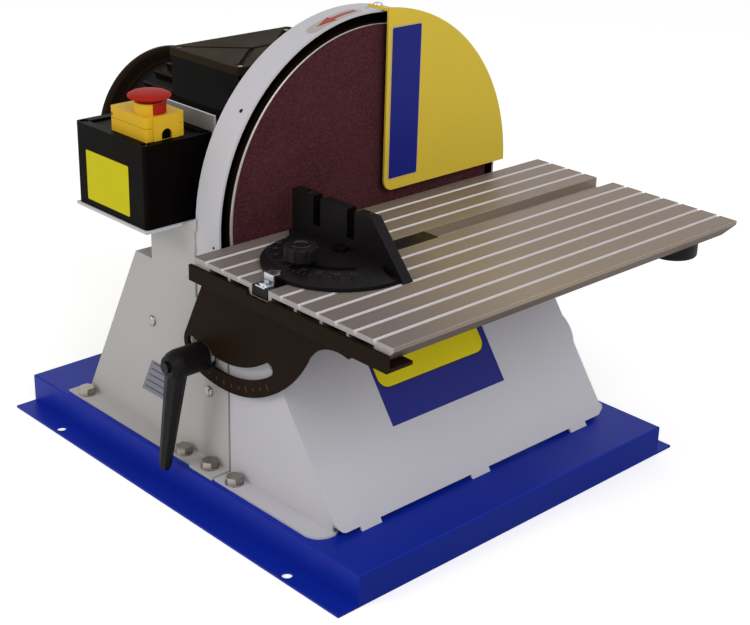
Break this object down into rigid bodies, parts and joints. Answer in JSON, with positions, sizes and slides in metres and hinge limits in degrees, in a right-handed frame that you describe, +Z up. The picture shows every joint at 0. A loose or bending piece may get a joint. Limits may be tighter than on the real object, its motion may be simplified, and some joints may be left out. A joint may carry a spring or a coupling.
{
  "type": "benchtop disc sander",
  "caption": "Benchtop disc sander: vertical abrasive disc on a face-mounted motor, tilting slotted table with mitre gauge, dust hood with side outlet, on a bolt-down sheet tray.",
  "frame": {"origin": "centre of the four bench bolt holes, on the floor plane", "axes": "+X to the right seen from the working side, +Y to the rear along the motor, +Z up"},
  "size_m": [0.4368, 0.5663, 0.4075],
  "materials": {
    "blue_paint": "gloss",
    "white_paint": "semi-gloss",
    "yellow_paint": "gloss",
    "black_paint": "satin",
    "table_aluminium": "satin",
    "disc_aluminium": "turned",
    "motor_aluminium": "satin black",
    "abrasive": "coarse grit",
    "black_plastic": "matte",
    "yellow_plastic": "gloss",
    "red_plastic": "gloss",
    "green_plastic": "gloss",
    "zinc_steel": "zinc plated",
    "bearing_steel": "polished",
    "core_steel": "laminated"
  },
  "bodies": {
    "base": {"base_tray": "blue_paint", "motor_stand": "white_paint", "disc_guard": "white_paint", "left_post": "white_paint", "right_post": "white_paint", "dust_hood": "white_paint", "dust_outlet": "white_paint", "switch_bracket": "white_paint", "disc_cover": "yellow_paint", "fan_cover": "black_paint", "motor_body": "motor_aluminium", "front_bell": "motor_aluminium", "rear_bell": "motor_aluminium", "switch_box": "black_plastic", "switch_box_lid": "black_plastic", "cable_gland": "black_plastic", "capacitor_box": "black_plastic", "capacitor_lid": "black_plastic", "switch_base": "yellow_plastic", "cover_screws": "zinc_steel", "foot_bolts": "zinc_steel", "foot_nuts": "zinc_steel", "side_screws": "zinc_steel", "lid_screws": "zinc_steel", "flap_pin": "zinc_steel", "motor_bolts": "zinc_steel", "capacitor_screws": "zinc_steel", "run_capacitor": "zinc_steel", "guide_blocks": "zinc_steel", "lock_studs": "zinc_steel", "front_bearing": "bearing_steel", "rear_bearing": "bearing_steel", "stator": "core_steel"},
    "disc": {"disc_plate": "disc_aluminium", "abrasive_disc": "abrasive", "shaft_key": "zinc_steel", "motor_shaft": "bearing_steel", "rotor": "core_steel", "cooling_fan": "black_plastic"},
    "table": {"table": "table_aluminium", "left_trunnion": "black_paint", "right_trunnion": "black_paint", "trunnion_screws": "zinc_steel", "table_knobs": "black_plastic"},
    "left_lever": {"left_lever": "black_plastic", "left_lever_screw": "zinc_steel"},
    "right_lever": {"right_lever": "black_plastic", "right_lever_screw": "zinc_steel"},
    "mitre_bar": {"mitre_bar": "black_paint", "mitre_pivot": "zinc_steel", "mitre_pointer": "zinc_steel", "pointer_screw": "zinc_steel"},
    "mitre_head": {"mitre_head": "black_plastic"},
    "mitre_knob": {"mitre_knob": "black_plastic"},
    "switch_flap": {"switch_flap": "yellow_plastic"},
    "stop_button": {"stop_button": "red_plastic"},
    "start_key": {"start_key": "green_plastic"},
    "stop_key": {"stop_key": "red_plastic"}
  },
  "joints": [
    {"name": "disc_spin", "type": "hinge", "parent": "base", "child": "disc", "pos_m": [0, 0, 0.2395], "axis": [0, 1, 0], "continuous": true},
    {"name": "table_tilt", "type": "hinge", "parent": "base", "child": "table", "pos_m": [0, -0.0445, 0.2318], "axis": [1, 0, 0], "range_deg": [-5, 45]},
    {"name": "left_lever_turn", "type": "hinge", "parent": "base", "child": "left_lever", "pos_m": [-0.19, -0.02031, 0.13477], "axis": [-1, 0, 0], "range_deg": [-30, 60]},
    {"name": "right_lever_turn", "type": "hinge", "parent": "base", "child": "right_lever", "pos_m": [0.19, -0.02031, 0.13477], "axis": [-1, 0, 0], "range_deg": [-60, 30]},
    {"name": "mitre_slide", "type": "slide", "parent": "table", "child": "mitre_bar", "axis": [1, 0, 0], "range_m": [-0.04, 0.2]},
    {"name": "mitre_swivel", "type": "hinge", "parent": "mitre_bar", "child": "mitre_head", "pos_m": [-0.111, -0.1185, 0.2318], "axis": [0, 0, 1], "range_deg": [-60, 60]},
    {"name": "mitre_knob_turn", "type": "hinge", "parent": "mitre_bar", "child": "mitre_knob", "pos_m": [-0.1515, -0.1185, 0.2318], "axis": [0, 0, 1], "range_deg": [-180, 180]},
    {"name": "flap_hinge", "type": "hinge", "parent": "base", "child": "switch_flap", "pos_m": [-0.17215, 0.0734, 0.3248], "axis": [-1, 0, 0], "range_deg": [0, 90]},
    {"name": "stop_press", "type": "slide", "parent": "switch_flap", "child": "stop_button", "axis": [0, 0, -1], "range_m": [0, 0.003], "stiffness_N_per_m": 1200, "springref_m": -0.001},
    {"name": "start_press", "type": "slide", "parent": "base", "child": "start_key", "axis": [0, 0, -1], "range_m": [0, 0.003], "stiffness_N_per_m": 1000, "springref_m": -0.001},
    {"name": "stop_key_press", "type": "slide", "parent": "base", "child": "stop_key", "axis": [0, 0, -1], "range_m": [0, 0.003], "stiffness_N_per_m": 1000, "springref_m": -0.001}
  ]
}
